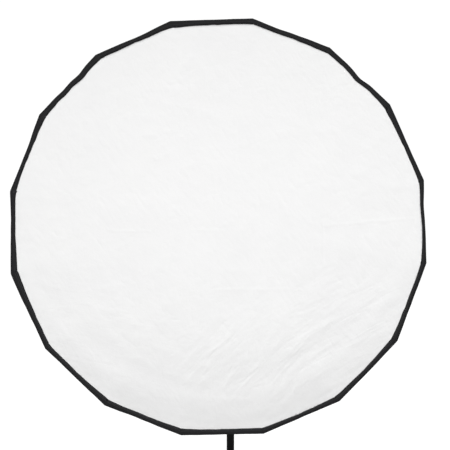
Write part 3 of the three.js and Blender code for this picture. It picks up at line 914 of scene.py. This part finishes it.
def hang(piece, sewn):
    """Lets the sewn-down sheet hang under its own weight, and leaves a share of its sag in its mesh."""
    pins = piece.vertex_groups.new(name="sewn")
    pins.add(sewn, 1.0, "REPLACE")
    cloth = piece.modifiers.new("hang", "CLOTH")
    cloth.settings.vertex_group_mass = "sewn"
    cloth.settings.quality = 8
    cloth.settings.mass = 0.07
    cloth.settings.tension_stiffness = 160
    cloth.settings.compression_stiffness = 120
    cloth.settings.shear_stiffness = 60
    cloth.settings.bending_stiffness = 0.15
    cloth.settings.tension_damping = 20
    cloth.settings.air_damping = 3
    cloth.settings.shrink_min = -DIFFUSER_SLACK
    cloth.point_cache.frame_end = HANG_FRAMES
    for step in range(1, HANG_FRAMES + 1):
        bpy.context.scene.frame_set(step)
    hung = piece.evaluated_get(bpy.context.evaluated_depsgraph_get())
    places = [v.co.copy() for v in hung.data.vertices]
    piece.modifiers.remove(cloth)
    piece.vertex_groups.remove(pins)
    bpy.context.scene.frame_set(1)
    for v, p in zip(piece.data.vertices, places):
        v.co = v.co.lerp(p, SETTLE)


def build_diffuser():
    radius = DIFFUSER_RADIUS
    plane = FRONT - SKIRT_START - LIP_STEP
    flat, faces, sewn = diffuser_mesh(radius, DIFFUSER_GRID)
    sewn_set = set(sewn)
    points = []
    for i, p in enumerate(flat):
        gore, u, distance = polygon_place(p)
        share = distance / (radius * math.cos(STEP / 2))
        start = 0.0 if i in sewn_set else belly(p.y / radius, share)
        loose = 0.0006 * noise.noise(Vector((p.x * 9, p.y * 9, 0))) + drawn_folds(p.x, p.y)
        start += loose * smooth(1 - share, 0, 0.1)
        points.append(HUB + Vector((p.x, -(plane + start), p.y)))
    uvs = [tuple((flat[i].x, flat[i].y) for i in face) for face in faces]
    sheet = mesh_piece("front_cloth", points, faces, uvs, (WHITE, WHITE_INSIDE))
    hang(sheet, sewn)
    shares = []
    for v in sheet.data.vertices:
        p = (v.co.x - HUB.x, v.co.z - HUB.z)
        gore, u, distance = polygon_place(p)
        share = min(1.0, distance / (radius * math.cos(STEP / 2)))
        sag = max(-MOST_SAG, min(MOST_SAG, HUB.y - v.co.y - plane))
        v.co.y = HUB.y - plane - sag
        v.co += inward(gore) * side_dent(gore, u) * smooth(share, 0.7, 1.0)
        shares.append(diffuser_shares(share, gore, u))
    follow_ribs(sheet, shares)
    finer = sheet.modifiers.new("finer", "SUBSURF")
    finer.levels = finer.render_levels = 1
    thicken(sheet, DIFFUSER_THICK, offset=1.0, lining=1)
    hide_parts("front_diffuser")


# ---- stage ----
def area_light(name, location, target, size, power):
    data = bpy.data.lights.new(name, "AREA")
    data.shape, data.size, data.energy = "DISK", size, power
    light = bpy.data.objects.new(name, data)
    light.location = location
    light.rotation_euler = (target - location).to_track_quat("-Z", "Y").to_euler()
    bpy.context.scene.collection.objects.link(light)


def build_stage():
    g = Graph("pale_floor")
    seen = g.node("LightPath").outputs["Is Camera Ray"]
    g.surface(Base_Color=(FLOOR_TONE, FLOOR_TONE, FLOOR_TONE, 1), Roughness=0.9, Specular_IOR_Level=0.1,
              Emission_Color=(1, 1, 1, 1), Emission_Strength=g.maths("MULTIPLY", seen, FLOOR_SEEN))
    r = FLOOR_REACH
    corners = [(-r, -r, 0), (r, -r, 0), (r, r, 0), (-r, r, 0)]
    floor = mesh_piece("floor", corners, [(0, 1, 2, 3)], None, (g.material,))
    world = bpy.data.worlds.new("studio")
    world.use_nodes = True
    tree = world.node_tree
    background = tree.nodes["Background"]
    background.inputs["Color"].default_value = (1, 1, 1, 1)
    seen = tree.nodes.new("ShaderNodeLightPath").outputs["Is Camera Ray"]
    strength = tree.nodes.new("ShaderNodeMapRange")
    strength.inputs["To Min"].default_value = STUDIO_LIGHT
    strength.inputs["To Max"].default_value = STUDIO_SEEN
    tree.links.new(seen, strength.inputs["Value"])
    tree.links.new(strength.outputs["Result"], background.inputs["Strength"])
    bpy.context.scene.world = world
    sun = bpy.data.lights.new("key", "SUN")
    sun.energy, sun.angle = KEY_STRENGTH, math.radians(KEY_SOFTNESS)
    key = bpy.data.objects.new("key", sun)
    height = math.radians(KEY_HEIGHT)
    way = Vector((KEY_SIDE, math.cos(height), -math.sin(height)))
    key.rotation_euler = way.to_track_quat("-Z", "Y").to_euler()
    bpy.context.scene.collection.objects.link(key)
    for name, location, target, size, power in AREA_LIGHTS:
        area_light(name, HUB + Vector(location), HUB + Vector(target), size, power)
    bpy.context.scene.view_settings.view_transform = "Standard"


def build_camera():
    data = bpy.data.cameras.new("camera")
    camera = bpy.data.objects.new("camera", data)
    bpy.context.scene.collection.objects.link(camera)
    data.sensor_width = SENSOR
    data.lens = SENSOR * CAMERA_DISTANCE / FRAME_WIDTH
    yaw = math.radians(CAMERA_YAW)
    centre = Vector((0, HUB.y - FRONT, HUB.z))
    back = Vector((math.sin(yaw), -math.cos(yaw), 0))
    right = Vector((math.cos(yaw), math.sin(yaw), 0))
    camera.location = centre + back * CAMERA_DISTANCE
    aim = centre + right * FRAME_OFFSET[0] + Vector((0, 0, FRAME_OFFSET[1]))
    camera.rotation_euler = (aim - camera.location).to_track_quat("-Z", "Y").to_euler()
    bpy.context.scene.camera = camera


build_camera()
build_stage()
dress_cad()
build_shell()
build_seams()
build_hub_webbing()
build_rim_band()
build_diffuser()
